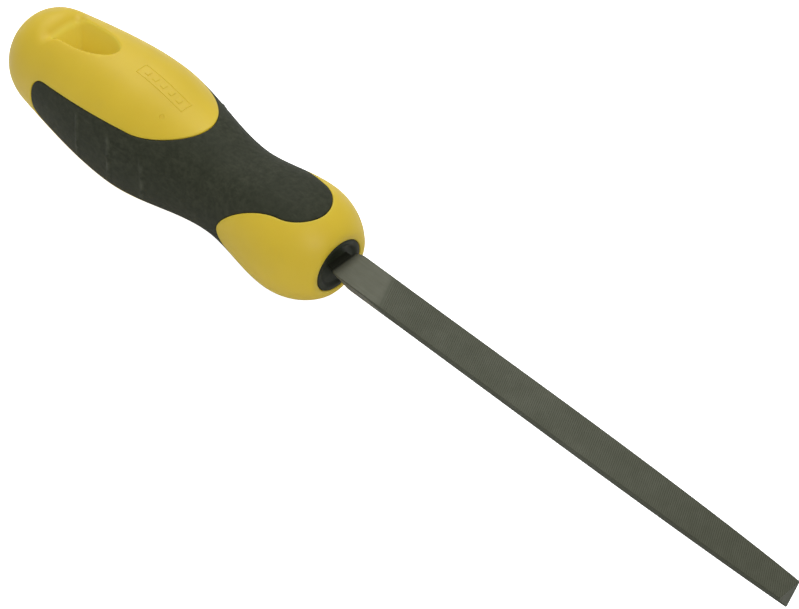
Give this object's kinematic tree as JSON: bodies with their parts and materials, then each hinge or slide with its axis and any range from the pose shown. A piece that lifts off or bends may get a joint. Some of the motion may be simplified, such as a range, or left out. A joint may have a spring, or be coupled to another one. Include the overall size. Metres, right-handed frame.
{
  "type": "three-square hand file",
  "caption": "Three-square (triangular) hand file with a two-material handle: hard yellow core, soft black grip and a hanging hole.",
  "frame": {"origin": "centre of the hanging hole, on the tool's long axis", "axes": "+X along the tool's axis towards the file's tip; +Z along the hanging hole and square to the file's upper face"},
  "size_m": [0.2759, 0.037, 0.04],
  "materials": {
    "file_steel": "dark hardened steel, cut on all faces, smooth at the heel",
    "insert_black": "matt moulded",
    "core_yellow": "satin moulded",
    "grip_black": "matt soft-touch elastomer"
  },
  "bodies": {
    "root": {"file": "file_steel", "tang_insert": "insert_black", "handle_core": "core_yellow", "grip": "grip_black"}
  },
  "joints": []
}
